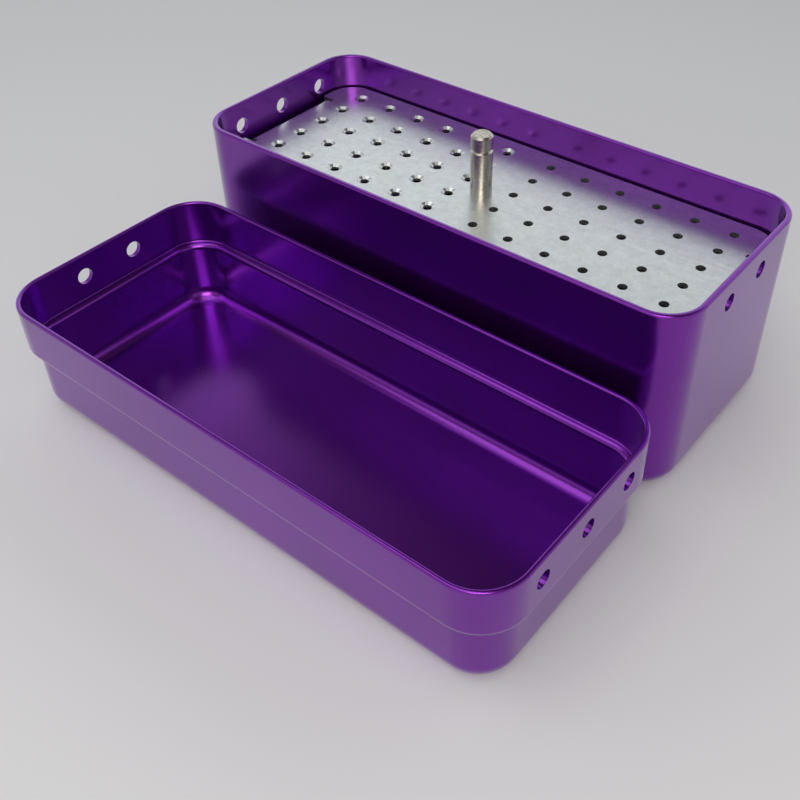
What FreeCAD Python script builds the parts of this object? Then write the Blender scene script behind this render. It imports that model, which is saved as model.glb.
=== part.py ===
"""Sterilization container: a drawn base, a stepped drawn lid and a lift-out perforated rack.

Millimetres. The origin is the centre of the base's underside, +X runs along the length towards the
end with two vents, +Y to the back and +Z up. The lid lies open side up in front of the base.
"""

import FreeCAD, Part
import math
import os
import Sketcher

DOC = FreeCAD.newDocument("sterilization_container")
SHEET = DOC.addObject("Spreadsheet::Sheet", "sizes")

# Driving sizes: alias, value in millimetres, degrees or pieces, meaning
SIZES = (
    ("base_length", 175.0, "base, outside length"),
    ("base_width", 72.0, "base, outside width"),
    ("base_height", 62.0, "base, outside height"),
    ("base_corner_radius", 12.0, "base, outside radius of the upright corners"),
    ("base_wall", 1.8, "base, sheet thickness"),
    ("base_bottom_radius", 6.0, "base, outside radius of the bottom edge"),
    ("rim_chamfer", 0.3, "chamfer of both edges of a rim"),
    ("vent_diameter", 5.2, "steam vents of base and lid"),
    ("vent_sides", 16, "steam vents, sides of the outline that stands in for a circle"),
    ("vent_pitch", 18.8, "steam vents, centre to centre"),
    ("vent_depth", 7.8, "steam vents, centre below the base's rim"),
    ("lid_clearance", 0.4, "gap between the base's wall and the wide part of the lid"),
    ("lid_wall", 1.5, "lid, sheet thickness"),
    ("lid_height", 38.0, "lid, outside height"),
    ("ledge_depth", 15.1, "lid, from its rim to the ledge that rests on the base's rim"),
    ("ledge_width", 2.4, "lid, step between its wide and its narrow part"),
    ("ledge_chamfer", 1.2, "lid, chamfer of the ledge's inner edge"),
    ("step_chamfer", 1.6, "lid, chamfer of the step's outer edge"),
    ("lid_bottom_radius", 6.0, "lid, outside radius of the edge round its flat face"),
    ("lid_gap", 4.9, "as laid out, from the base's front wall to the lid's rim"),
    ("lid_shift", 0.6, "as laid out, the lid's centre along the base's length"),
    ("rack_clearance", 1.0, "gap between the base's inner wall and the hole plate"),
    ("plate_thickness", 1.5, "hole plate, sheet thickness"),
    ("plate_depth", 11.6, "hole plate's top below the base's rim"),
    ("column_pitch", 12.75, "instrument holes, pitch along the length"),
    ("row_pitch", 10.5, "instrument holes, pitch across the width"),
    ("centre_gap", 17.2, "instrument holes, pitch of the two columns beside the post"),
    ("hole_columns", 6, "instrument holes, columns in each half"),
    ("hole_rows", 6, "instrument holes, rows"),
    ("shank_hole", 3.0, "plain holes, diameter"),
    ("file_hole", 2.8, "countersunk holes, diameter"),
    ("file_hole_rim", 5.0, "countersunk holes, diameter at the top"),
    ("file_hole_sink", 0.66, "countersunk holes, depth of the cone"),
    ("hole_sides", 12, "instrument holes, sides of the outline that stands in for a circle"),
    ("leg_width", 36.0, "legs at the ends of the hole plate, width"),
    ("leg_inset", 1.0, "legs, set in from the hole plate's ends"),
    ("relief_width", 1.5, "bend relief notches beside the legs, width"),
    ("relief_margin", 1.0, "bend relief notches, depth past the bend"),
    ("bend_radius", 1.5, "legs and feet, inside bend radius"),
    ("foot_length", 9.0, "feet turned in under the rack, length"),
    ("plate_gap", 30.0, "free height between the hole plate and the stop plate"),
    ("stop_thickness", 1.5, "stop plate, sheet thickness"),
    ("stop_edge_gap", 3.0, "stop plate, set in from the hole plate's long edges"),
    ("stop_end_gap", 0.3, "stop plate, gap to each leg"),
    ("stop_corner_radius", 5.0, "stop plate, corner radius"),
    ("tab_width", 14.0, "tabs of the stop plate in the legs' slots, width"),
    ("tab_clearance", 0.15, "slots, gap round a tab"),
    ("post_diameter", 6.8, "lifting post"),
    ("post_height", 20.4, "lifting post, height over the hole plate"),
    ("post_chamfer", 0.6, "lifting post, chamfer at the top"),
    ("post_head", 4.4, "lifting post, length of the head above the groove"),
    ("groove_depth", 0.6, "lifting post, depth of the groove"),
    ("groove_width", 0.6, "lifting post, width of the groove's floor"),
    ("post_bore_depth", 8.5, "lifting post, depth of the tapped hole from below"),
    ("screw_diameter", 4.0, "post screw, thread diameter"),
    ("screw_reach", 6.5, "post screw, length inside the post"),
    ("thread_fit", 0.05, "radial gap between the screw and the tapped hole"),
    ("screw_hole", 4.3, "hole for the screw in both plates, the sleeve and the washer"),
    ("screw_head_diameter", 8.0, "post screw, pan head diameter"),
    ("screw_head_height", 3.1, "post screw, pan head height"),
    ("screw_head_chamfer", 1.0, "post screw, chamfer of the pan head"),
    ("recess_length", 4.4, "post screw, length of the cross recess"),
    ("recess_width", 1.0, "post screw, width of the cross recess"),
    ("recess_depth", 1.8, "post screw, depth of the cross recess"),
    ("sleeve_diameter", 7.0, "spacer sleeve, outside diameter"),
    ("washer_diameter", 9.0, "washer, outside diameter"),
    ("washer_thickness", 0.8, "washer, thickness"),
)

for row, (alias, number, meaning) in enumerate(SIZES, start=1):
    SHEET.set(f"A{row}", meaning)
    SHEET.set(f"B{row}", str(number))
    SHEET.setAlias(f"B{row}", alias)
DOC.recompute()


def formula(text, **parts):
    """An expression of the sheet, written with bare aliases and with named parts in brackets."""
    words = []
    for word in text.split():
        if word in parts:
            words.append(f"({parts[word]})")
        elif word[0].isalpha():
            words.append(f"sizes.{word}")
        else:
            words.append(word)
    return " ".join(words)


def value(expression):
    """The number that an expression gives."""
    result = SHEET.evalExpression(expression)
    return float(getattr(result, "Value", result))


# Lengths and levels that several pieces share
BASE_IN_LENGTH = formula("base_length - 2 * base_wall")
BASE_IN_WIDTH = formula("base_width - 2 * base_wall")
BASE_IN_RADIUS = formula("base_corner_radius - base_wall")
PLATE_LENGTH = formula("inside - 2 * rack_clearance", inside=BASE_IN_LENGTH)
PLATE_WIDTH = formula("inside - 2 * rack_clearance", inside=BASE_IN_WIDTH)
PLATE_RADIUS = formula("inside - rack_clearance", inside=BASE_IN_RADIUS)
PLATE_TOP = formula("base_height - plate_depth")
RACK_HEIGHT = formula("top - base_wall", top=PLATE_TOP)
LEG_FACE = formula("length / 2 - leg_inset", length=PLATE_LENGTH)
STOP_TOP = formula("top - plate_thickness - plate_gap", top=PLATE_TOP)
STOP_UNDERSIDE = formula("top - stop_thickness", top=STOP_TOP)
HEAD_SEAT = formula("under - washer_thickness", under=STOP_UNDERSIDE)


def new_body(label, across="0", depth="0", height="0"):
    """A body with its label and a place that follows the sheet."""
    body = DOC.addObject("PartDesign::Body", label)
    body.Label = label
    for axis, expression in (("x", across), ("y", depth), ("z", height)):
        if expression != "0":
            body.setExpression(f"Placement.Base.{axis}", expression)
    return body


def new_sketch(body, name, plane="XY", level="0"):
    """A sketch on an origin plane of its body, moved to a level along the plane's normal."""
    sketch = body.newObject("Sketcher::SketchObject", name)
    role = f"{plane}_Plane"
    support = next(item for item in body.Origin.OriginFeatures if item.Role == role)
    sketch.AttachmentSupport = [(support, "")]
    sketch.MapMode = "FlatFace"
    if level != "0":
        sketch.setExpression("AttachmentOffset.Base.z", level)
    return sketch


def bind(sketch, constraint, expression):
    """Adds a dimension that follows an expression."""
    index = sketch.addConstraint(constraint)
    sketch.setExpression(f"Constraints[{index}]", expression)


def locate(sketch, geometry, point, across, up):
    """Ties a point to the sketch's origin; the coordinate 0 puts it on the axis."""
    for kind, expression, axis in (("DistanceX", across, -2), ("DistanceY", up, -1)):
        if expression == "0":
            on_axis = Sketcher.Constraint("PointOnObject", geometry, point, axis)
            sketch.addConstraint(on_axis)
        else:
            distance = Sketcher.Constraint(kind, geometry, point, value(expression))
            bind(sketch, distance, expression)


def draw_polygon(sketch, corners):
    """Closed outline through corners, each given by two expressions."""
    spots = []
    for across, up in corners:
        spots.append(FreeCAD.Vector(value(across), value(up), 0))
    count = len(spots)
    for number in range(count):
        edge = Part.LineSegment(spots[number], spots[(number + 1) % count])
        sketch.addGeometry(edge, False)
    for number, (across, up) in enumerate(corners):
        previous = (number - 1) % count
        sketch.addConstraint(Sketcher.Constraint("Coincident", previous, 2, number, 1))
        locate(sketch, number, 1, across, up)


def draw_circle(sketch, diameter, across="0", up="0"):
    """Circle at a place given by two expressions."""
    centre = FreeCAD.Vector(value(across), value(up), 0)
    circle = Part.Circle(centre, FreeCAD.Vector(0, 0, 1), value(diameter) / 2)
    index = sketch.addGeometry(circle, False)
    if across == "0" and up == "0":
        sketch.addConstraint(Sketcher.Constraint("Coincident", index, 3, -1, 1))
    else:
        locate(sketch, index, 3, across, up)
    bind(sketch, Sketcher.Constraint("Diameter", index, value(diameter)), diameter)


def draw_round(sketch, diameter, sides, across="0", up="0"):
    """Regular polygon that stands in for a circle at a place given by two expressions."""
    count = round(value(sides))
    radius = value(diameter) / 2
    centre = FreeCAD.Vector(value(across), value(up), 0)
    corners = []
    for number in range(count):
        turn = 2 * math.pi * number / count
        spoke = FreeCAD.Vector(radius * math.cos(turn), radius * math.sin(turn), 0)
        corners.append(centre + spoke)
    for number in range(count):
        edge = Part.LineSegment(corners[number], corners[(number + 1) % count])
        sketch.addGeometry(edge, False)
    circle = Part.Circle(centre, FreeCAD.Vector(0, 0, 1), radius)
    guide = sketch.addGeometry(circle, True)
    ties = [Sketcher.Constraint("Horizontal", 0, 1, guide, 3)]
    for number in range(count):
        previous = (number - 1) % count
        ties.append(Sketcher.Constraint("Coincident", previous, 2, number, 1))
        ties.append(Sketcher.Constraint("PointOnObject", number, 1, guide))
    for number in range(1, count):
        ties.append(Sketcher.Constraint("Equal", 0, number))
    sketch.addConstraint(ties)
    locate(sketch, guide, 3, across, up)
    bind(sketch, Sketcher.Constraint("Diameter", guide, value(diameter)), diameter)


def draw_rounded_rectangle(sketch, length, width, radius):
    """Rectangle centred on the origin, with four equal arcs tangent to its sides."""
    corner = value(radius)
    reach = value(length) / 2 - corner
    rise = value(width) / 2 - corner
    quarter = math.pi / 2
    up = FreeCAD.Vector(0, 0, 1)
    arcs = []
    for number, (side, end) in enumerate(((1, 1), (-1, 1), (-1, -1), (1, -1))):
        centre = FreeCAD.Vector(side * reach, end * rise, 0)
        circle = Part.Circle(centre, up, corner)
        arc = Part.ArcOfCircle(circle, number * quarter, (number + 1) * quarter)
        arcs.append(sketch.addGeometry(arc, False))
    sides = []
    for number in range(4):
        start = sketch.getPoint(arcs[number], 2)
        end = sketch.getPoint(arcs[(number + 1) % 4], 1)
        sides.append(sketch.addGeometry(Part.LineSegment(start, end), False))
    for number, side in enumerate(sides):
        following = arcs[(number + 1) % 4]
        sketch.addConstraint(Sketcher.Constraint("Tangent", arcs[number], 2, side, 1))
        sketch.addConstraint(Sketcher.Constraint("Tangent", side, 2, following, 1))
        direction = "Vertical" if number % 2 else "Horizontal"
        sketch.addConstraint(Sketcher.Constraint(direction, side))
    for arc in arcs[1:]:
        sketch.addConstraint(Sketcher.Constraint("Equal", arcs[0], arc))
    sketch.addConstraint(Sketcher.Constraint("Symmetric", arcs[0], 3, arcs[2], 3, -1, 1))
    top, left, bottom, right = sides
    across = Sketcher.Constraint("DistanceX", left, 1, right, 1, value(length))
    bind(sketch, across, length)
    along = Sketcher.Constraint("DistanceY", bottom, 1, top, 1, value(width))
    bind(sketch, along, width)
    bind(sketch, Sketcher.Constraint("Radius", arcs[0], corner), radius)


def pad(body, name, sketch, length, both_ways=False):
    """Adds the sketch's area over a length."""
    feature = body.newObject("PartDesign::Pad", name)
    feature.Profile = sketch
    feature.setExpression("Length", length)
    if both_ways:
        feature.SideType = "Symmetric"
    DOC.recompute()
    return feature


def pocket(body, name, sketch, length=None, forwards=False, both_ways=False):
    """Cuts the sketch's area over a length, or right through; forwards is along its normal."""
    before = body.Shape.Volume
    feature = body.newObject("PartDesign::Pocket", name)
    feature.Profile = sketch
    feature.Reversed = forwards
    if both_ways:
        feature.SideType = "Symmetric"
    if length is None:
        feature.Type = "ThroughAll"
    else:
        feature.setExpression("Length", length)
    DOC.recompute()
    if not body.Shape.Volume < before:
        raise RuntimeError(f"{name} of {body.Label} cuts nothing")
    return feature


def revolve(body, name, sketch):
    """Turns a half section of the XZ plane about the upright axis."""
    feature = body.newObject("PartDesign::Revolution", name)
    feature.Profile = sketch
    feature.ReferenceAxis = (sketch, ["V_Axis"])
    feature.Angle = 360
    DOC.recompute()
    return feature


def taper_pocket(body, name, rim, foot):
    """Cuts the straight-sided form between the outlines at its rim and at its foot."""
    before = body.Shape.Volume
    feature = body.newObject("PartDesign::SubtractiveLoft", name)
    feature.Profile = rim
    feature.Sections = [foot]
    feature.Ruled = True
    DOC.recompute()
    if not body.Shape.Volume < before:
        raise RuntimeError(f"{name} of {body.Label} cuts nothing")
    return feature


def repeat(body, name, cuts, sketch, columns, column_step, rows=None, row_step=None):
    """Repeats cuts along a sketch's first axis, and along the second as well for a grid."""
    before = body.Shape.Volume
    pattern = body.newObject("PartDesign::LinearPattern", name)
    pattern.Originals = cuts
    pattern.Direction = (sketch, ["H_Axis"])
    pattern.setExpression("Length", f"({column_step}) * ({columns} - 1)")
    pattern.setExpression("Occurrences", columns)
    if rows is not None:
        pattern.Direction2 = (sketch, ["V_Axis"])
        pattern.setExpression("Length2", f"({row_step}) * ({rows} - 1)")
        pattern.setExpression("Occurrences2", rows)
    body.Tip = pattern
    DOC.recompute()
    if not body.Shape.Volume < before:
        raise RuntimeError(f"{name} of {body.Label} repeats nothing")
    return pattern


def mirror(body, name, feature):
    """Repeats a feature on the other side of the plane across the length."""
    copy = body.newObject("PartDesign::Mirrored", name)
    copy.Originals = [feature]
    planes = body.Origin.OriginFeatures
    copy.MirrorPlane = (next(item for item in planes if item.Role == "YZ_Plane"), [""])
    body.Tip = copy
    DOC.recompute()
    return copy


def loop_edges(feature, level, outline):
    """Names of the edges round the flat face at a level: its outer outline, or its inner one."""
    shape = feature.Shape
    ours = []
    for face in shape.Faces:
        box = face.BoundBox
        if box.ZLength < 1e-6 and abs(box.ZMin - level) < 1e-6:
            loops = [face.OuterWire] if outline == "outer" else []
            if outline == "inner":
                loops = [wire for wire in face.Wires if not wire.isSame(face.OuterWire)]
            for wire in loops:
                ours.extend(wire.Edges)
    names = []
    for number, edge in enumerate(shape.Edges, start=1):
        if any(edge.isSame(one) for one in ours):
            names.append(f"Edge{number}")
    return names


def cross_edges(feature, spots):
    """Names of the straight edges along the width that pass through spots of the XZ plane."""
    names = []
    for number, edge in enumerate(feature.Shape.Edges, start=1):
        box = edge.BoundBox
        if box.XLength < 1e-6 and box.ZLength < 1e-6:
            for across, up in spots:
                if abs(box.XMin - across) < 1e-6 and abs(box.ZMin - up) < 1e-6:
                    names.append(f"Edge{number}")
    return names


def fillet(body, name, feature, edges, radius):
    """Rounds named edges of a feature."""
    if not edges:
        raise RuntimeError(f"{name} of {body.Label} finds no edge")
    rounding = body.newObject("PartDesign::Fillet", name)
    rounding.Base = (feature, edges)
    rounding.setExpression("Radius", radius)
    DOC.recompute()
    return rounding


def chamfer(body, name, feature, edges, size):
    """Bevels named edges of a feature."""
    if not edges:
        raise RuntimeError(f"{name} of {body.Label} finds no edge")
    bevel = body.newObject("PartDesign::Chamfer", name)
    bevel.Base = (feature, edges)
    bevel.setExpression("Size", size)
    DOC.recompute()
    return bevel


def cut_vents(body, name, count, height, forwards):
    """A row of round vents in one end wall, centred on the width."""
    sketch = new_sketch(body, f"{name}_sketch", "YZ")
    first = formula(f"-1 * vent_pitch * {count - 1} / 2") if count > 1 else "0"
    draw_round(sketch, formula("vent_diameter"), formula("vent_sides"), first, height)
    cut = pocket(body, name, sketch, forwards=forwards)
    return repeat(body, f"{name}_row", [cut], sketch, str(count), formula("vent_pitch"))


def make_base():
    """Drawn tray with rounded corners, a rounded bottom edge and vents in both ends."""
    body = new_body("base_box")
    outer = new_sketch(body, "outline")
    length, width = formula("base_length"), formula("base_width")
    draw_rounded_rectangle(outer, length, width, formula("base_corner_radius"))
    block = pad(body, "block", outer, formula("base_height"))
    inner = new_sketch(body, "hollow_outline", level=formula("base_wall"))
    draw_rounded_rectangle(inner, BASE_IN_LENGTH, BASE_IN_WIDTH, BASE_IN_RADIUS)
    tray = pocket(body, "hollow", inner, forwards=True)
    underside = loop_edges(tray, 0.0, "outer")
    tray = fillet(body, "bottom_edge", tray, underside, formula("base_bottom_radius"))
    floor = loop_edges(tray, value(formula("base_wall")), "outer")
    inside = formula("base_bottom_radius - base_wall")
    tray = fillet(body, "floor_edge", tray, floor, inside)
    rim = value(formula("base_height"))
    rim_edges = loop_edges(tray, rim, "outer") + loop_edges(tray, rim, "inner")
    chamfer(body, "rim_edge", tray, rim_edges, formula("rim_chamfer"))
    vent_height = formula("base_height - vent_depth")
    cut_vents(body, "left_vent", 3, vent_height, forwards=False)
    cut_vents(body, "right_vent", 2, vent_height, forwards=True)
    return body


def make_lid():
    """Stepped drawn tray: the wide part covers the base's rim, which stops at the ledge."""
    beside = formula("-1 * base_width / 2 - lid_gap - lid_wall - lid_clearance - base_width / 2")
    body = new_body("lid", formula("lid_shift"), beside)
    wide_length = formula("base_length + 2 * lid_clearance")
    wide_width = formula("base_width + 2 * lid_clearance")
    wide_radius = formula("base_corner_radius + lid_clearance")
    narrow_length = formula("wide - 2 * ledge_width", wide=wide_length)
    narrow_width = formula("wide - 2 * ledge_width", wide=wide_width)
    narrow_radius = formula("wide - ledge_width", wide=wide_radius)
    ledge = formula("lid_height - ledge_depth")
    step = formula("ledge - lid_wall", ledge=ledge)

    def tray_outline(name, level, sizes, wall):
        sketch = new_sketch(body, name, level=level)
        length, width, radius = sizes
        draw_rounded_rectangle(
            sketch,
            formula(f"inside + 2 * {wall}", inside=length),
            formula(f"inside + 2 * {wall}", inside=width),
            formula(f"inside + {wall}", inside=radius),
        )
        return sketch

    narrow = (narrow_length, narrow_width, narrow_radius)
    wide = (wide_length, wide_width, wide_radius)
    pad(body, "narrow_block", tray_outline("narrow_outline", "0", narrow, "lid_wall"),
        formula("lid_height"))
    pad(body, "wide_block", tray_outline("wide_outline", step, wide, "lid_wall"),
        formula("ledge_depth + lid_wall"))
    pocket(body, "narrow_hollow", tray_outline("narrow_inside", formula("lid_wall"), narrow, "0"),
           forwards=True)
    tray = pocket(body, "wide_hollow", tray_outline("wide_inside", ledge, wide, "0"),
                  forwards=True)

    rounds = (
        ("bottom_edge", "0", "outer", formula("lid_bottom_radius")),
        ("floor_edge", formula("lid_wall"), "outer", formula("lid_bottom_radius - lid_wall")),
    )
    for name, level, outline, radius in rounds:
        edges = loop_edges(tray, value(level), outline)
        tray = fillet(body, name, tray, edges, radius)
    noses = (
        ("step_nose", step, ("outer",), formula("step_chamfer")),
        ("ledge_nose", ledge, ("inner",), formula("ledge_chamfer")),
        ("rim_edge", formula("lid_height"), ("outer", "inner"), formula("rim_chamfer")),
    )
    for name, level, outlines, size in noses:
        edges = []
        for outline in outlines:
            edges.extend(loop_edges(tray, value(level), outline))
        tray = chamfer(body, name, tray, edges, size)

    # The rim on the ledge brings the vents of lid and base to one height
    vent_height = formula("lid_height - ledge_depth + vent_depth")
    cut_vents(body, "left_vent", 2, vent_height, forwards=False)
    cut_vents(body, "right_vent", 3, vent_height, forwards=True)
    return body


def make_hole_plate():
    """Folded sheet: a plate with two kinds of holes, legs at its ends and feet turned in."""
    body = new_body("hole_plate", height=formula("base_wall"))
    underside = formula("height - plate_thickness", height=RACK_HEIGHT)
    bend = formula("bend_radius + plate_thickness")
    flat_end = formula("face - bend - relief_margin", face=LEG_FACE, bend=bend)

    outline = new_sketch(body, "plate_outline", level=underside)
    draw_rounded_rectangle(outline, PLATE_LENGTH, PLATE_WIDTH, PLATE_RADIUS)
    plate = pad(body, "plate", outline, formula("plate_thickness"))

    # Notches beside both legs, which also clear the sheet where the bends begin
    relief = new_sketch(body, "relief_outline", level=RACK_HEIGHT)
    half = formula("leg_width / 2 + relief_width")
    draw_polygon(relief, (
        (flat_end, formula("-1 * half", half=half)),
        (PLATE_LENGTH, formula("-1 * half", half=half)),
        (PLATE_LENGTH, half),
        (flat_end, half),
    ))
    notch = pocket(body, "relief", relief)
    mirror(body, "relief_mirrored", notch)

    # Section of one leg with its foot, square first, then rounded at the bends
    face = LEG_FACE
    inside = formula("face - plate_thickness", face=face)
    toe = formula("face - foot_length", face=face)
    section = new_sketch(body, "leg_section", "XZ")
    draw_polygon(section, (
        (flat_end, RACK_HEIGHT),
        (face, RACK_HEIGHT),
        (face, "0"),
        (toe, "0"),
        (toe, formula("plate_thickness")),
        (inside, formula("plate_thickness")),
        (inside, underside),
        (flat_end, underside),
    ))
    leg = pad(body, "leg", section, formula("leg_width"), both_ways=True)
    folded = mirror(body, "leg_mirrored", leg)
    bends = (
        ("outer_bends", face, (RACK_HEIGHT, "0"), bend),
        ("inner_bends", inside, (underside, formula("plate_thickness")), formula("bend_radius")),
    )
    for name, across, levels, radius in bends:
        spots = []
        for level in levels:
            spots.append((value(across), value(level)))
            spots.append((-value(across), value(level)))
        folded = fillet(body, name, folded, cross_edges(folded, spots), radius)

    # Slots through both legs for the tabs of the stop plate
    slot = new_sketch(body, "slot_outline", "YZ")
    side = formula("tab_width / 2 + tab_clearance")
    sill = formula("under - base_wall - tab_clearance", under=STOP_UNDERSIDE)
    lintel = formula("over - base_wall + tab_clearance", over=STOP_TOP)
    draw_polygon(slot, (
        (formula("-1 * side", side=side), sill),
        (side, sill),
        (side, lintel),
        (formula("-1 * side", side=side), lintel),
    ))
    pocket(body, "slots", slot, both_ways=True)

    screw = new_sketch(body, "screw_hole_outline", level=RACK_HEIGHT)
    draw_circle(screw, formula("screw_hole"))
    pocket(body, "screw_hole", screw, length=formula("2 * plate_thickness"))

    # Each half starts with its front hole nearest the end with three vents
    front_row = formula("-1 * row_pitch * ( hole_rows - 1 ) / 2")
    left_start = formula("-1 * centre_gap / 2 - column_pitch * ( hole_columns - 1 )")
    right_start = formula("centre_gap / 2")
    sides = formula("hole_sides")
    for name, start in (("file_hole", left_start), ("shank_hole", right_start)):
        outline = new_sketch(body, f"{name}_outline", level=RACK_HEIGHT)
        draw_round(outline, formula(name), sides, start, front_row)
        cuts = [pocket(body, name, outline, length=formula("2 * plate_thickness"))]
        if name == "file_hole":
            rim = new_sketch(body, "sink_rim", level=RACK_HEIGHT)
            draw_round(rim, formula("file_hole_rim"), sides, start, front_row)
            foot_level = formula("height - file_hole_sink", height=RACK_HEIGHT)
            foot = new_sketch(body, "sink_foot", level=foot_level)
            draw_round(foot, formula(name), sides, start, front_row)
            cuts.append(taper_pocket(body, "sink", rim, foot))
        repeat(body, f"{name}s", cuts, outline, formula("hole_columns"), formula("column_pitch"),
               formula("hole_rows"), formula("row_pitch"))
    return body


def make_stop_plate():
    """Lower plate on which the shanks stand, held by a tab in each leg."""
    body = new_body("stop_plate", height=STOP_UNDERSIDE)
    span = formula("face - plate_thickness", face=LEG_FACE)
    outline = new_sketch(body, "outline")
    draw_rounded_rectangle(
        outline,
        formula("2 * ( span - stop_end_gap )", span=span),
        formula("width - 2 * stop_edge_gap", width=PLATE_WIDTH),
        formula("stop_corner_radius"),
    )
    pad(body, "plate", outline, formula("stop_thickness"))
    tabs = new_sketch(body, "tab_outline")
    side = formula("tab_width / 2")
    draw_polygon(tabs, (
        (formula("-1 * face", face=LEG_FACE), formula("-1 * side", side=side)),
        (LEG_FACE, formula("-1 * side", side=side)),
        (LEG_FACE, side),
        (formula("-1 * face", face=LEG_FACE), side),
    ))
    pad(body, "tabs", tabs, formula("stop_thickness"))
    hole = new_sketch(body, "screw_hole_outline")
    draw_circle(hole, formula("screw_hole"))
    pocket(body, "screw_hole", hole, forwards=True)
    return body


def make_post():
    """Turned post with a chamfered head, a groove below it and a tapped hole from below."""
    body = new_body("lifting_post", height=PLATE_TOP)
    radius = formula("post_diameter / 2")
    waist = formula("radius - groove_depth", radius=radius)
    bore = formula("screw_diameter / 2 + thread_fit")
    head_foot = formula("post_height - post_head")
    groove_foot = formula("foot - groove_width", foot=head_foot)
    shoulder = formula("foot - groove_depth", foot=groove_foot)
    section = new_sketch(body, "half_section", "XZ")
    draw_polygon(section, (
        (bore, "0"),
        (radius, "0"),
        (radius, shoulder),
        (waist, groove_foot),
        (waist, head_foot),
        (radius, head_foot),
        (radius, formula("post_height - post_chamfer")),
        (formula("radius - post_chamfer", radius=radius), formula("post_height")),
        ("0", formula("post_height")),
        ("0", formula("post_bore_depth")),
        (bore, formula("post_bore_depth")),
    ))
    revolve(body, "turned", section)
    return body


def make_ring(label, diameter, length, height):
    """Tube or washer round the post screw."""
    body = new_body(label, height=height)
    outline = new_sketch(body, "outline")
    draw_circle(outline, diameter)
    draw_circle(outline, formula("screw_hole"))
    pad(body, "ring", outline, length)
    return body


def make_screw():
    """Pan head screw with a cross recess, from below through both plates into the post."""
    body = new_body("post_screw", height=HEAD_SEAT)
    head = formula("screw_head_diameter / 2")
    shank = formula("screw_diameter / 2")
    tip = formula("top + screw_reach - seat", top=PLATE_TOP, seat=HEAD_SEAT)
    under_head = formula("-1 * screw_head_height")
    section = new_sketch(body, "half_section", "XZ")
    draw_polygon(section, (
        ("0", tip),
        ("0", under_head),
        (formula("head - screw_head_chamfer", head=head), under_head),
        (head, formula("screw_head_chamfer - screw_head_height")),
        (head, "0"),
        (shank, "0"),
        (shank, tip),
    ))
    revolve(body, "turned", section)
    recess = new_sketch(body, "recess_outline", level=under_head)
    arm = formula("recess_length / 2")
    side = formula("recess_width / 2")
    less_arm = formula("-1 * arm", arm=arm)
    less_side = formula("-1 * side", side=side)
    draw_polygon(recess, (
        (arm, less_side), (arm, side), (side, side), (side, arm),
        (less_side, arm), (less_side, side), (less_arm, side), (less_arm, less_side),
        (less_side, less_side), (less_side, less_arm), (side, less_arm), (side, less_side),
    ))
    pocket(body, "recess", recess, length=formula("recess_depth"), forwards=True)
    return body


def main():
    pieces = [
        make_base(),
        make_lid(),
        make_hole_plate(),
        make_stop_plate(),
        make_post(),
        make_ring("spacer_sleeve", formula("sleeve_diameter"), formula("plate_gap"), STOP_TOP),
        make_ring("washer", formula("washer_diameter"), formula("washer_thickness"), HEAD_SEAT),
        make_screw(),
    ]
    DOC.recompute()
    for item in DOC.Objects:
        if "Invalid" in item.State or "Error" in item.State:
            raise RuntimeError(f"{item.Label} failed: {item.State}")
    for body in pieces:
        shape = body.Shape
        if shape.isNull() or not shape.isValid() or len(shape.Solids) != 1:
            raise RuntimeError(f"{body.Label} is not one valid solid")
    os.makedirs("parts", exist_ok=True)
    for body in pieces:
        body.Shape.exportStep(f"parts/{body.Label}.step")
        box = body.Shape.optimalBoundingBox()
        low = (round(box.XMin, 2), round(box.YMin, 2), round(box.ZMin, 2))
        high = (round(box.XMax, 2), round(box.YMax, 2), round(box.ZMax, 2))
        print(body.Label, low, high, round(body.Shape.Volume, 1))


main()
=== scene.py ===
"""Finishes and studio of the sterilization container.

Both purple anodised shells are made here. The satin rack and the steel post are the model's own
pieces and get their finishes here. Metres, in the frame of the model: the origin is the centre of
the base's underside, +X runs along the length, +Y to the back and +Z up.
"""

import math

import bpy
import numpy as np
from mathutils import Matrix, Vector


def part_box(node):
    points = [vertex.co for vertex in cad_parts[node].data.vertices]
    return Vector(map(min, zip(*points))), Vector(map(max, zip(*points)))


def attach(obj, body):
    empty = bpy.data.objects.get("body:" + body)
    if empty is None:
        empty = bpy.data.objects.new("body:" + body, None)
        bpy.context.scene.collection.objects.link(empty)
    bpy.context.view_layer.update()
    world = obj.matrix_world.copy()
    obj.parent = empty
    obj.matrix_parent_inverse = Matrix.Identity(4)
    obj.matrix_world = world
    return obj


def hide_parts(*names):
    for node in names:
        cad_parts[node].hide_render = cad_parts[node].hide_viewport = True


bl_info = {
    "name": "Sterilization Container",
    "version": (1, 0, 0),
    "blender": (4, 5, 0),
    "location": "View3D > Sidebar > Container",
    "description": "Finishes of an anodised sterilization container and its rack, and a studio",
    "category": "Object",
}

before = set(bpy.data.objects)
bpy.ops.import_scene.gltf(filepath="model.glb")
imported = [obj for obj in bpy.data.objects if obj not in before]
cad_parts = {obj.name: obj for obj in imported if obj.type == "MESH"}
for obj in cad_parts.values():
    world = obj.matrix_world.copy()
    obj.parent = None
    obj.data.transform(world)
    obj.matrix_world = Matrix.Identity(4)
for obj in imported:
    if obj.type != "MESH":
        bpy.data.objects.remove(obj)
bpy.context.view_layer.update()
model_materials = {one.name for one in bpy.data.materials}

MILLIMETRE = 0.001
FINEST = 0.02 * MILLIMETRE            # smallest size of a grain, so that no noise scale is infinite

SECTION_STEPS = 12                    # segments of an arc in a shell's section
RIM_STEPS = 4                         # segments of one edge of a rim
CORNER_STEPS = 16                     # segments of an upright corner
VENT_SIDES = 48                       # sides of a vent's outline
ROD_REACH = 8 * MILLIMETRE            # from an end wall to both ends of a rod that cuts a vent
LONG_RUN = 4                          # in guards, the shortest straight run that gets guard strips
SHARP_ANGLE = math.radians(30)        # between faces whose edge isn't shaded smooth

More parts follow.
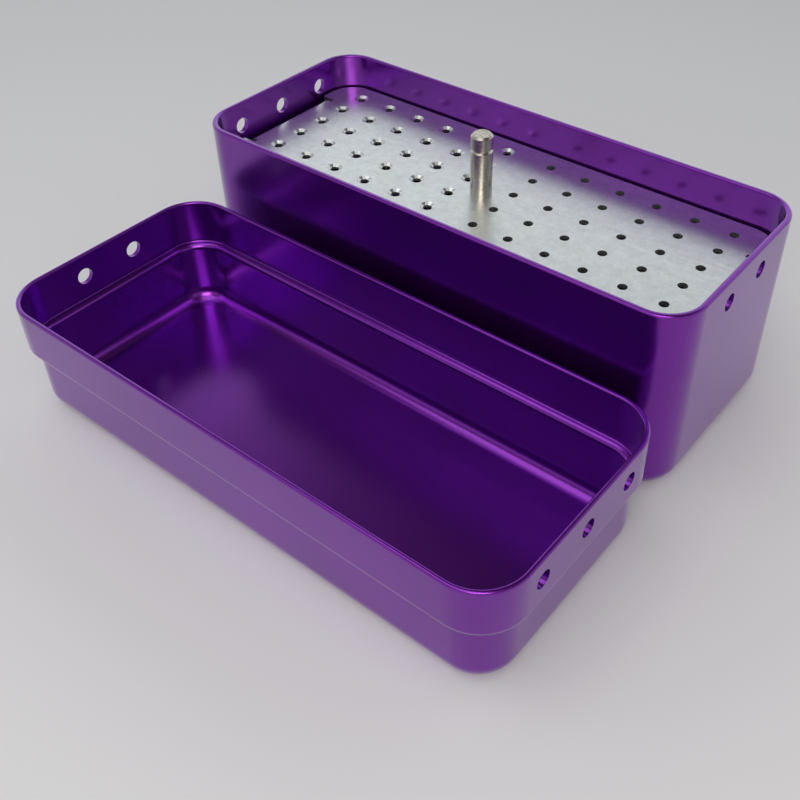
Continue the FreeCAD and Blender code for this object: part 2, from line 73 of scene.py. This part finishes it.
NOISE_SPAN = (0.3, 0.7)               # where nearly all values of a noise lie
STREAK_SPAN = (0.36, 0.64)            # narrower, for streaks with more contrast
ALONG_X = (0.05, 1.0, 1.0)            # scale that draws noise out along the length
ALONG_Z = (1.0, 1.0, 0.1)             # scale that draws noise out along the post
RINGS = (0.0, 0.0, 1.0)               # scale that leaves noise only its change along the post

FRONT_TO_BACK = (-0.4, 0.4)           # Y of the directions between the room and the pale wall
MIDDLE_TO_RIGHT = (0.2, 0.8)          # X of the directions between the middle and the far right
WALL_TO_CEILING = (0.60, 0.74)        # Z of the directions between the walls and the ceiling
FLOOR_HALF = 2.0                      # from the middle of the floor to its edges
FLOOR_ROUGHNESS = 0.9
SENSOR_WIDTH = 36.0                   # in millimetres, as the focal length is
CLIP_START = 0.01                     # nearest distance that the camera shows


def distance(name, description, default, least=0.0):
    """A length in metres as a property."""
    return bpy.props.FloatProperty(name=name, description=description, default=default,
                                   min=least, subtype="DISTANCE", unit="LENGTH")


def share(name, description, default):
    """A part between nothing and all as a property."""
    return bpy.props.FloatProperty(name=name, description=description, default=default,
                                   min=0.0, max=1.0, subtype="FACTOR")


def amount(name, description, default, **attributes):
    """A value with no upper limit as a property."""
    return bpy.props.FloatProperty(name=name, description=description, default=default,
                                   min=0.0, **attributes)


def number(name, description, default):
    """A whole number as a property."""
    return bpy.props.IntProperty(name=name, description=description, default=default, min=0)


def tint(name, description, default):
    """A colour as a property."""
    return bpy.props.FloatVectorProperty(name=name, description=description, default=default,
                                         size=3, min=0.0, max=1.0, subtype="COLOR")


def spot(name, description, default):
    """A place in metres as a property."""
    return bpy.props.FloatVectorProperty(name=name, description=description, default=default,
                                         size=3, subtype="TRANSLATION", unit="LENGTH")


def lamp_size(name, description, default):
    """The width and height of a lamp in metres as a property."""
    return bpy.props.FloatVectorProperty(name=name, description=description, default=default,
                                         size=2, min=0.0, unit="LENGTH")


class ShellSettings(bpy.types.PropertyGroup):
    """What both shells share: steam vents, rims and guard strips."""

    diameter: distance("Diameter", "Diameter of a vent", 0.0052)
    pitch: distance("Pitch", "Distance between vents", 0.0188)
    rim: distance("Rim edge", "Radius of both edges of a rim", 0.0006)
    guard: distance("Guard", "Width of the strips that keep flat faces flat in the shading", 0.0004)


class BaseSettings(bpy.types.PropertyGroup):
    """Sizes of the base's shell."""

    corner: distance("Corner", "Outside radius of the upright corners", 0.012)
    wall: distance("Wall", "Sheet thickness", 0.0018)
    bottom: distance("Bottom edge", "Outside radius of the bottom edge", 0.006)
    vent_height: distance("Vent height", "Centre of the vents above the underside", 0.0542)
    vents_left: number("Vents left", "Number of vents in the left end wall", 3)
    vents_right: number("Vents right", "Number of vents in the right end wall", 2)


class LidSettings(bpy.types.PropertyGroup):
    """Sizes of the lid's shell, which lies open side up."""

    corner: distance("Corner", "Outside radius of the wide part's corners", 0.0139)
    wall: distance("Wall", "Sheet thickness", 0.0015)
    bottom: distance("Bottom edge", "Outside radius of the edge round the flat face", 0.006)
    step: distance("Step", "Set-back of the narrow part, and radius of the step", 0.0024)
    nose: distance("Nose", "Radius of the ledge's inner edge", 0.0018)
    ledge_height: distance("Ledge height", "Ledge above the flat face", 0.0229)
    vent_height: distance("Vent height", "Centre of the vents above the flat face", 0.0307)
    vents_left: number("Vents left", "Number of vents in the left end wall", 2)
    vents_right: number("Vents right", "Number of vents in the right end wall", 3)


class AnodisedSettings(bpy.types.PropertyGroup):
    """Purple anodised sheet of the base and the lid."""

    colour: tint("Colour", "Dyed oxide seen straight on", (0.19, 0.005, 0.37))
    contrast: share("Contrast", "Change of the colour from cloud to cloud", 0.08)
    cloud: distance("Cloud", "Size of the clouds in the dye", 0.03, FINEST)
    roughness: share("Roughness", "Satin of the etched sheet", 0.25)
    uneven: share("Unevenness", "Change of the roughness from grain to grain", 0.02)
    gloss: share("Oxide gloss", "Clear sealed layer over the dye", 0.85)
    gloss_roughness: share("Gloss roughness", "Roughness of the clear layer", 0.2)
    gloss_index: amount("Gloss index", "Index of refraction of the clear layer", 1.47)
    haze: share("Haze", "Part of the light that the dye scatters all round", 0.05)
    grain: distance("Grain", "Size of the etched grain", 0.0003, FINEST)
    relief: distance("Relief", "Depth of the etched grain", 0.0005 * MILLIMETRE)


class SatinSettings(bpy.types.PropertyGroup):
    """Clear anodised sheet of the rack."""

    colour: tint("Colour", "Bare satin aluminium", (0.78, 0.82, 0.81))
    dark: share("Dark patches", "Share of the colour in them", 0.82)
    light: amount("Light patches", "Share of the colour in them", 1.1)
    cloud: distance("Patches", "Size of the patches", 0.003, FINEST)
    roughness: share("Roughness", "Satin of the sheet", 0.36)
    uneven: share("Unevenness", "Change of the roughness from grain to grain", 0.05)
    grain: distance("Grain", "Size of the rolled grain", 0.0005, FINEST)
    relief: distance("Relief", "Depth of the rolled grain", 0.003 * MILLIMETRE)


class ShadedPlateSettings(bpy.types.PropertyGroup):
    """Mill finish of the stop plate: rough sheet whose colour is the satin sheet's made darker, as
    painted shade for the shade under the hole plate.
    """

    # Painted shade: both shares are below one, so the whole plate is darker than the satin sheet,
    # with random patches within that.
    dark: share("Dark patches", "Share of the satin sheet's colour in them", 0.5)
    light: amount("Light patches", "Share of the satin sheet's colour in them", 0.65)
    cloud: distance("Patches", "Size of the patches", 0.004, FINEST)
    roughness: share("Roughness", "Dull surface of the sheet", 0.5)


class SteelSettings(bpy.types.PropertyGroup):
    """Turned stainless steel of the post, its screw and its washer."""

    colour: tint("Colour", "Warm stainless steel", (0.46, 0.44, 0.385))
    dark: share("Dark streaks", "Share of the colour in them", 0.76)
    light: amount("Light streaks", "Share of the colour in them", 1.2)
    streak: distance("Streaks", "Width of the streaks", 0.0012, FINEST)
    roughness: share("Roughness", "Fine turned finish", 0.24)
    smoother: share("Smoother", "Less roughness in the smoothest marks", 0.05)
    rougher: share("Rougher", "More roughness in the roughest marks", 0.08)
    pitch: distance("Tool marks", "Distance between the turning marks", 0.00018, FINEST)
    relief: distance("Relief", "Depth of the turning marks", 0.003 * MILLIMETRE)


class StudioSettings(bpy.types.PropertyGroup):
    """Pale floor, soft lamps and the camera."""

    floor: tint("Floor", "Pale floor", (0.78, 0.79, 0.81))
    wall: amount("Pale wall", "Strength of the light from the pale wall behind", 1.02)
    room: amount("Room", "Strength of the light from the room in front", 0.66)
    room_colour: tint("Room's colour", "A little cooler than the lamps", (0.94, 0.965, 1.0))
    right: share("Right side", "Part of the room's light that comes from the far right", 0.55)
    ceiling: amount("Ceiling", "Strength of the light from the dark ceiling", 0.08)
    key: amount("Key lamp", "Power of the soft lamp overhead", 2.2, subtype="POWER", unit="POWER")
    key_place: spot("Key place", "Centre of the lamp overhead", (-0.1, -0.3, 0.9))
    key_size: lamp_size("Key size", "Size of the lamp overhead", (0.8, 0.6))
    key_colour: tint("Key colour", "Colour of the lamp overhead", (1.0, 1.0, 1.0))
    fill: amount("Front lamp", "Power of the small lamp at the front right", 2.6,
                 subtype="POWER", unit="POWER")
    fill_place: spot("Front lamp's place", "Centre of the lamp at the front right",
                     (0.38, -0.55, 0.62))
    fill_size: lamp_size("Front lamp's size", "Size of the lamp at the front right", (0.4, 0.4))
    fill_colour: tint("Front lamp's colour", "A little warmer than the room", (1.0, 0.90, 0.80))
    target: spot("Target", "Place that both lamps point at", (0.0, -0.04, 0.03))
    focal_length: bpy.props.FloatProperty(
        name="Focal length", description="On a sensor 36 mm wide, for a square picture",
        subtype="DISTANCE_CAMERA", min=1.0, default=46.2)
    camera_place: spot("Camera place", "Above the right end of the lid", (0.1613, -0.2238, 0.2166))
    camera_turn: bpy.props.FloatVectorProperty(
        name="Camera turn", description="Down and to the left, with the photograph's tilt",
        size=3, subtype="EULER", unit="ROTATION", default=(0.8727, 0.0075, 0.6685))
    camera_shift: bpy.props.FloatVectorProperty(
        name="Camera shift", description="Shift of the picture in parts of its width",
        size=2, default=(-0.047, -0.057))


class ContainerSettings(bpy.types.PropertyGroup):
    """All settings of the container and its studio."""

    shells: bpy.props.PointerProperty(type=ShellSettings)
    base: bpy.props.PointerProperty(type=BaseSettings)
    lid: bpy.props.PointerProperty(type=LidSettings)
    anodised: bpy.props.PointerProperty(type=AnodisedSettings)
    satin: bpy.props.PointerProperty(type=SatinSettings)
    dull_shaded_plate: bpy.props.PointerProperty(type=ShadedPlateSettings)
    steel: bpy.props.PointerProperty(type=SteelSettings)
    studio: bpy.props.PointerProperty(type=StudioSettings)


def settings():
    """The container's settings in this scene."""
    return bpy.context.scene.container


def add_object(name, data):
    """A new object in the scene for a mesh, a lamp or a camera."""
    made = bpy.data.objects.new(name, data)
    bpy.context.scene.collection.objects.link(made)
    return made


def add_mesh(name, spots, faces):
    """A new mesh object in the scene."""
    mesh = bpy.data.meshes.new(name)
    mesh.from_pydata(spots, [], faces)
    return add_object(name, mesh)


def fill_in(node, values):
    """Gives values to a shader node's sockets."""
    for socket, value in values.items():
        node.inputs[socket].default_value = value


def add_node(tree, kind, values=None, **attributes):
    """A shader node with attributes and with values for its sockets."""
    made = tree.nodes.new(kind)
    for name, value in attributes.items():
        setattr(made, name, value)
    fill_in(made, values or {})
    return made


def made_once(name, make):
    """The finish of a name, made at its first use; the model's own materials are no finishes."""
    if name in model_materials:
        raise RuntimeError(f"the model has a material named {name} already")
    return bpy.data.materials.get(name) or make(name)


def new_material(name):
    """A node material with an object coordinate; gives the material, its tree, shader and place."""
    material = bpy.data.materials.new(name)
    material.use_nodes = True
    tree = material.node_tree
    shader = tree.nodes["Principled BSDF"]
    place = add_node(tree, "ShaderNodeTexCoord").outputs["Object"]
    return material, tree, shader, place


def stretched(tree, place, scale):
    """The place multiplied by a scale for each axis."""
    mapping = add_node(tree, "ShaderNodeMapping", {"Scale": scale})
    tree.links.new(place, mapping.inputs["Vector"])
    return mapping.outputs["Vector"]


def noise(tree, place, size, detail=2.0, roughness=0.5):
    """Noise whose features are about a size across."""
    made = add_node(tree, "ShaderNodeTexNoise",
                    {"Scale": 1.0 / size, "Detail": detail, "Roughness": roughness})
    tree.links.new(place, made.inputs["Vector"])
    return made.outputs["Fac"]


def spread(tree, factor, low, high, span=NOISE_SPAN):
    """A factor within a span turned into a value between low and high."""
    made = add_node(tree, "ShaderNodeMapRange",
                    {"From Min": span[0], "From Max": span[1], "To Min": low, "To Max": high})
    tree.links.new(factor, made.inputs["Value"])
    return made.outputs["Result"]


def shaded(colour, part):
    """A colour made darker or lighter to a part of itself, with full opacity."""
    return (*(min(1.0, one * part) for one in colour), 1.0)


def vary_colour(tree, shader, factor, colour, dark, light, span=NOISE_SPAN):
    """Lets a factor change the shader's colour between a dark and a light part of a colour."""
    made = add_node(tree, "ShaderNodeMix", {"A": shaded(colour, dark), "B": shaded(colour, light)},
                    data_type="RGBA")
    tree.links.new(spread(tree, factor, 0.0, 1.0, span), made.inputs["Factor"])
    tree.links.new(made.outputs["Result"], shader.inputs["Base Color"])


def vary_roughness(tree, shader, factor, roughness, less, more):
    """Lets a factor change the shader's roughness to less and more than a middle value."""
    rough = spread(tree, factor, roughness - less, roughness + more)
    tree.links.new(rough, shader.inputs["Roughness"])


def add_relief(tree, shader, height, depth):
    """Bumps of a depth in metres on a shader."""
    made = add_node(tree, "ShaderNodeBump", {"Strength": 1.0, "Distance": depth})
    tree.links.new(height, made.inputs["Height"])
    tree.links.new(made.outputs["Normal"], shader.inputs["Normal"])


def anodised_finish(name):
    """Etched sheet under a dyed and sealed oxide: satin metal with a clear gloss over it."""
    look = settings().anodised
    material, tree, shader, place = new_material(name)
    vary_colour(tree, shader, noise(tree, place, look.cloud), look.colour,
                1.0 - look.contrast, 1.0 + look.contrast)
    grain = noise(tree, place, look.grain, detail=3.0)
    vary_roughness(tree, shader, grain, look.roughness, look.uneven, look.uneven)
    add_relief(tree, shader, grain, look.relief)
    fill_in(shader, {"Metallic": 1.0 - look.haze, "Coat Weight": look.gloss,
                     "Coat Roughness": look.gloss_roughness, "Coat IOR": look.gloss_index})
    return material


def satin_finish(name):
    """Rolled sheet, etched and clear anodised: fine grain with faint lines along the length."""
    look = settings().satin
    material, tree, shader, place = new_material(name)
    cloud = noise(tree, place, look.cloud, detail=8.0, roughness=0.85)
    vary_colour(tree, shader, cloud, look.colour, look.dark, look.light)
    grain = noise(tree, stretched(tree, place, ALONG_X), look.grain, detail=3.0)
    vary_roughness(tree, shader, grain, look.roughness, look.uneven, look.uneven)
    add_relief(tree, shader, grain, look.relief)
    fill_in(shader, {"Metallic": 1.0})
    return material


def dull_painted_shade_finish(name):
    """Mill finish of the stop plate: rougher than the clear anodised sheet, with its colour
    darkened as painted shade for the shade under the hole plate.
    """
    look = settings().dull_shaded_plate
    material, tree, shader, place = new_material(name)
    cloud = noise(tree, place, look.cloud, detail=6.0)
    # Painted shade: the satin sheet's colour at the dark and light shares, both below one, for the
    # shade under the hole plate.
    vary_colour(tree, shader, cloud, settings().satin.colour, look.dark, look.light)
    fill_in(shader, {"Metallic": 1.0, "Roughness": look.roughness})
    return material


def steel_finish(name):
    """Turned steel: rings of tool marks, and streaks along the axis."""
    look = settings().steel
    material, tree, shader, place = new_material(name)
    marks = noise(tree, stretched(tree, place, RINGS), look.pitch, detail=1.0)
    vary_roughness(tree, shader, marks, look.roughness, look.smoother, look.rougher)
    add_relief(tree, shader, marks, look.relief)
    streaks = noise(tree, stretched(tree, place, ALONG_Z), look.streak, detail=4.0)
    vary_colour(tree, shader, streaks, look.colour, look.dark, look.light, STREAK_SPAN)
    fill_in(shader, {"Metallic": 1.0})
    return material


def arc(centre, radius, start, end, steps=SECTION_STEPS):
    """Points (inset, height) of a section's arc between two angles in degrees.

    Each point is the centre plus the radius times the cosine and the sine of its angle.
    """
    turn = np.radians(np.linspace(start, end, steps + 1))
    return np.array(centre) + radius * np.column_stack((np.cos(turn), np.sin(turn)))


def rim_section(height, wall):
    """Both rounded edges of a rim, from the outside to the inside."""
    edge = settings().shells.rim
    outer = arc((edge, height - edge), edge, 180, 90, RIM_STEPS)
    inner = arc((wall - edge, height - edge), edge, 90, 0, RIM_STEPS)
    return np.vstack((outer, inner))


def guarded(section, guard):
    """The section with a point close to each end of its long straight runs."""
    run = np.diff(section, axis=0)
    length = np.hypot(run[:, 0], run[:, 1])
    where = np.flatnonzero(length > LONG_RUN * guard)
    step = run[where] / length[where, None] * guard
    pairs = np.stack((section[where] + step, section[where + 1] - step), axis=1)
    return np.insert(section, np.repeat(where + 1, 2), pairs.reshape(-1, 2), axis=0)


def swept_grid(node, corner, section, guard):
    """The points of a section swept round the rounded rectangle of a node's box, ring by ring.

    A section's point with inset s and height h, at the angle t of a corner's arc, lies at the arc's
    centre plus (corner - s) times (cos t, sin t), at the height h. Next to each arc the point is
    moved along the straight side by the guard's width.
    """
    low, high = (np.array(one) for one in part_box(node))
    middle = (low + high) / 2
    half = (high - low) / 2 - corner
    arc_turn = np.linspace(0, np.pi / 2, CORNER_STEPS + 1)
    turn = np.concatenate(([0.0], arc_turn, [np.pi / 2]))
    angle = (np.arange(4)[:, None] * np.pi / 2 + turn).ravel()
    shift = np.tile(np.concatenate(([-guard], np.zeros(CORNER_STEPS + 1), [guard])), 4)
    across = np.repeat([1, -1, -1, 1], len(turn)) * half[0] + middle[0]
    along = np.repeat([1, 1, -1, -1], len(turn)) * half[1] + middle[1]
    reach = corner - section[:, :1]
    x = across + reach * np.cos(angle) - shift * np.sin(angle)
    y = along + reach * np.sin(angle) + shift * np.cos(angle)
    z = low[2] + np.broadcast_to(section[:, 1:], x.shape)
    return np.stack((x, y, z), axis=-1)


def sweep(name, node, corner, section):
    """A shell swept from a section round a node's box, closed by two flat faces.

    The section gets a point at each end, the guard's width inside the edge of the flat face there.
    """
    guard = settings().shells.guard
    section = guarded(section, guard)
    end = section[[0, -1]] + np.array([guard, 0.0])
    section = np.vstack((end[:1], section, end[1:]))
    spots = swept_grid(node, corner, section, guard)
    rings, count = spots.shape[:2]
    here = np.arange(rings * count).reshape(rings, count)
    after = np.roll(here, -1, axis=1)
    quads = np.stack((here[:-1], after[:-1], after[1:], here[1:]), axis=-1).reshape(-1, 4)
    faces = quads.tolist() + [here[0, ::-1].tolist(), here[-1].tolist()]
    return add_mesh(name, spots.reshape(-1, 3).tolist(), faces)


def vent_rods(node, height, left, right):
    """Rods along the length, a row through the left end wall and a row through the right one.

    A rod's outline is half the diameter times (cos t, sin t) round its centre.
    """
    vents = settings().shells
    low, high = (np.array(one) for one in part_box(node))
    turn = np.linspace(0, 2 * np.pi, VENT_SIDES, endpoint=False)
    outline = vents.diameter / 2 * np.column_stack((np.cos(turn), np.sin(turn)))
    rings = []
    for end, count in ((low[0], left), (high[0], right)):
        for place in (np.arange(count) - (count - 1) / 2) * vents.pitch:
            flat = outline + np.array([(low[1] + high[1]) / 2 + place, low[2] + height])
            for x in (end - ROD_REACH, end + ROD_REACH):
                rings.append(np.column_stack((np.full(VENT_SIDES, x), flat)))
    first = np.arange(VENT_SIDES)
    after = np.roll(first, -1)
    walls = np.column_stack((first, after, after + VENT_SIDES, first + VENT_SIDES))
    faces = []
    for offset in range(0, len(rings) * VENT_SIDES, 2 * VENT_SIDES):
        faces += (walls + offset).tolist()
        faces.append((first[::-1] + offset).tolist())
        faces.append((first + VENT_SIDES + offset).tolist())
    return add_mesh("vent_rods", np.vstack(rings).tolist(), faces)


def finish_shell(shell, rods, node, body):
    """Cuts the vents, shades the surface and puts the shell in its node's place."""
    cut = shell.modifiers.new("vents", "BOOLEAN")
    cut.operation = "DIFFERENCE"
    cut.solver = "EXACT"
    cut.object = rods
    state = bpy.context.evaluated_depsgraph_get()
    mesh = bpy.data.meshes.new_from_object(shell.evaluated_get(state))
    shell.modifiers.clear()
    shell.data = mesh
    bpy.data.objects.remove(rods)
    mesh.name = shell.name
    mesh.shade_smooth()
    mesh.set_sharp_from_angle(angle=SHARP_ANGLE)
    mesh.materials.clear()
    mesh.materials.append(made_once("purple_anodised", anodised_finish))
    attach(shell, body)
    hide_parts(node)


def dress(node, material):
    """Gives a piece of the model a finish."""
    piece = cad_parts[node]
    piece.data.materials.clear()
    piece.data.materials.append(material)


class MakeBase(bpy.types.Operator):
    """Makes the base's drawn shell with its vents"""

    bl_idname = "container.make_base"
    bl_label = "Make Base"

    def execute(self, context):
        size = settings().base
        low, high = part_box("base_box")
        inside = size.bottom - size.wall
        section = np.vstack((
            arc((size.bottom, size.bottom), size.bottom, -90, -180),
            rim_section(high[2] - low[2], size.wall),
            arc((size.bottom, size.bottom), inside, 180, 270),
        ))
        shell = sweep("base_shell", "base_box", size.corner, section)
        rods = vent_rods("base_box", size.vent_height, size.vents_left, size.vents_right)
        finish_shell(shell, rods, "base_box", "base")
        return {"FINISHED"}


class MakeLid(bpy.types.Operator):
    """Makes the lid's stepped shell with its vents"""

    bl_idname = "container.make_lid"
    bl_label = "Make Lid"

    def execute(self, context):
        size = settings().lid
        low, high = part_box("lid")
        foot = size.step + size.bottom
        inside = size.bottom - size.wall
        underside = size.ledge_height - size.wall
        root = size.step - size.nose
        bend = size.wall + root
        section = np.vstack((
            arc((foot, size.bottom), size.bottom, -90, -180),
            arc((size.step, underside + size.step), size.step, -90, -180),
            rim_section(high[2] - low[2], size.wall),
            arc((bend, size.ledge_height + root), root, 180, 270),
            arc((bend, size.ledge_height - size.nose), size.nose, 90, 0),
            arc((foot, size.bottom), inside, 180, 270),
        ))
        shell = sweep("lid_shell", "lid", size.corner, section)
        rods = vent_rods("lid", size.vent_height, size.vents_left, size.vents_right)
        finish_shell(shell, rods, "lid", "lid")
        return {"FINISHED"}


class FinishRack(bpy.types.Operator):
    """Gives the hole plate and the sleeve a satin finish, and the stop plate a mill finish darkened
    with painted shade
    """

    bl_idname = "container.finish_rack"
    bl_label = "Finish Rack"

    def execute(self, context):
        material = made_once("satin_aluminium", satin_finish)
        for node in ("hole_plate", "spacer_sleeve"):
            dress(node, material)
        # The stop plate's darker colour is painted shade for the shade under the hole plate.
        dress("stop_plate", made_once("dull_painted_shade_aluminium", dull_painted_shade_finish))
        return {"FINISHED"}


class FinishPost(bpy.types.Operator):
    """Gives the post, its screw and its washer their turned finish"""

    bl_idname = "container.finish_post"
    bl_label = "Finish Post"

    def execute(self, context):
        material = made_once("turned_steel_finish", steel_finish)
        for node in ("lifting_post", "post_screw", "washer"):
            dress(node, material)
        return {"FINISHED"}


def make_floor(studio):
    """A flat pale floor, far larger than the view."""
    corners = [(FLOOR_HALF * x, FLOOR_HALF * y, 0.0)
               for x, y in ((-1, -1), (1, -1), (1, 1), (-1, 1))]
    floor = add_mesh("floor", corners, [(0, 1, 2, 3)])
    material, tree, shader, place = new_material("pale_floor")
    fill_in(shader, {"Base Color": (*studio.floor, 1.0), "Roughness": FLOOR_ROUGHNESS})
    floor.data.materials.append(material)


def make_lamp(name, place, target, size, power, colour):
    """A soft lamp at a place, turned to a target."""
    data = bpy.data.lights.new(name, "AREA")
    data.shape = "RECTANGLE"
    data.size, data.size_y = size
    data.energy = power
    data.color = colour
    lamp = add_object(name, data)
    lamp.location = place
    direction = Vector(target) - Vector(place)
    lamp.rotation_euler = direction.to_track_quat("-Z", "Y").to_euler()


def make_room(studio):
    """Light from all round: a pale wall behind, a dimmer room in front and a dark ceiling."""
    world = bpy.data.worlds.new("room")
    world.use_nodes = True
    tree = world.node_tree
    direction = add_node(tree, "ShaderNodeTexCoord").outputs["Generated"]
    axes = add_node(tree, "ShaderNodeSeparateXYZ")
    tree.links.new(direction, axes.inputs["Vector"])
    around = spread(tree, axes.outputs["Y"], studio.room, studio.wall, FRONT_TO_BACK)
    above = spread(tree, axes.outputs["Z"], 0.0, 1.0, WALL_TO_CEILING)
    aside = spread(tree, axes.outputs["X"], 1.0, studio.right, MIDDLE_TO_RIGHT)
    level = add_node(tree, "ShaderNodeMath", operation="MULTIPLY")
    tree.links.new(around, level.inputs[0])
    tree.links.new(aside, level.inputs[1])
    light = add_node(tree, "ShaderNodeMix", {"B": studio.ceiling}, data_type="FLOAT")
    tree.links.new(above, light.inputs["Factor"])
    tree.links.new(level.outputs["Value"], light.inputs["A"])
    background = tree.nodes["Background"]
    tree.links.new(light.outputs["Result"], background.inputs["Strength"])
    fill_in(background, {"Color": (*studio.room_colour, 1.0)})
    bpy.context.scene.world = world


def make_camera(studio):
    """The camera at the photograph's place, above the lid's right end, looking left and down."""
    data = bpy.data.cameras.new("camera")
    data.lens = studio.focal_length
    data.sensor_width = SENSOR_WIDTH
    data.shift_x, data.shift_y = studio.camera_shift
    data.clip_start = CLIP_START
    camera = add_object("camera", data)
    camera.location = studio.camera_place
    camera.rotation_euler = studio.camera_turn
    bpy.context.scene.camera = camera


class MakeStudio(bpy.types.Operator):
    """Makes the floor, the lamps, the room light and the camera"""

    bl_idname = "container.make_studio"
    bl_label = "Make Studio"

    def execute(self, context):
        studio = settings().studio
        make_floor(studio)
        make_lamp("key_lamp", studio.key_place, studio.target, studio.key_size, studio.key,
                  studio.key_colour)
        make_lamp("front_lamp", studio.fill_place, studio.target, studio.fill_size, studio.fill,
                  studio.fill_colour)
        make_room(studio)
        context.scene.view_settings.view_transform = "Standard"
        make_camera(studio)
        return {"FINISHED"}


class ContainerPanel(bpy.types.Panel):
    """Lists the settings of the container and its studio, with the operators that use them"""

    bl_idname = "VIEW3D_PT_container"
    bl_label = "Sterilization Container"
    bl_space_type = "VIEW_3D"
    bl_region_type = "UI"
    bl_category = "Container"

    def draw(self, context):
        container = context.scene.container
        groups = (
            (container.shells, None),
            (container.anodised, None),
            (container.base, MakeBase),
            (container.lid, MakeLid),
            (container.dull_shaded_plate, None),
            (container.satin, FinishRack),
            (container.steel, FinishPost),
            (container.studio, MakeStudio),
        )
        for group, operator in groups:
            box = self.layout.box()
            for name in type(group).__annotations__:
                box.prop(group, name)
            if operator is not None:
                box.operator(operator.bl_idname)


CLASSES = (
    ShellSettings, BaseSettings, LidSettings, AnodisedSettings, SatinSettings, ShadedPlateSettings,
    SteelSettings, StudioSettings, ContainerSettings, MakeBase, MakeLid, FinishRack, FinishPost,
    MakeStudio, ContainerPanel,
)


def register():
    for one in CLASSES:
        bpy.utils.register_class(one)
    bpy.types.Scene.container = bpy.props.PointerProperty(type=ContainerSettings)


def unregister():
    del bpy.types.Scene.container
    for one in reversed(CLASSES):
        bpy.utils.unregister_class(one)


def main():
    """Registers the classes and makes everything."""
    register()
    bpy.ops.container.make_base()
    bpy.ops.container.make_lid()
    bpy.ops.container.finish_rack()
    bpy.ops.container.finish_post()
    bpy.ops.container.make_studio()


if __name__ == "__main__":
    main()
